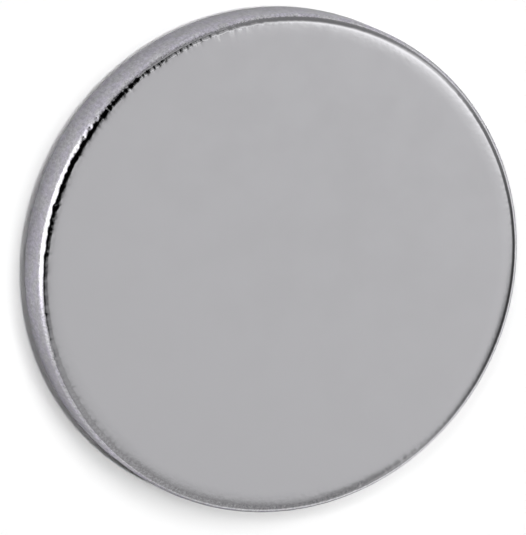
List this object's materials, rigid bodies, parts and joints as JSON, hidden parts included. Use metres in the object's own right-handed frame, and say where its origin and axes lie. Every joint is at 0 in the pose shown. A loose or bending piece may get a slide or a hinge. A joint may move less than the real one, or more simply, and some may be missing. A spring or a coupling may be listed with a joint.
{
  "type": "disc magnet",
  "caption": "Plain round disc magnet with flat pole faces, a straight rim and small rounded edges, plated bright all over.",
  "frame": {"origin": "centre of the lower pole face, on the surface that the magnet lies on", "axes": "+Z along the disc's axis, from the lower pole face to the upper one; the disc is round, so X and Y are any two directions across it"},
  "size_m": [0.025, 0.025, 0.003],
  "materials": {
    "nickel_plate": "bright nickel plate with a soft, slightly cloudy sheen on the pole faces and a finer grain on the rim"
  },
  "bodies": {
    "root": {"disc_magnet": "nickel_plate"}
  },
  "joints": []
}
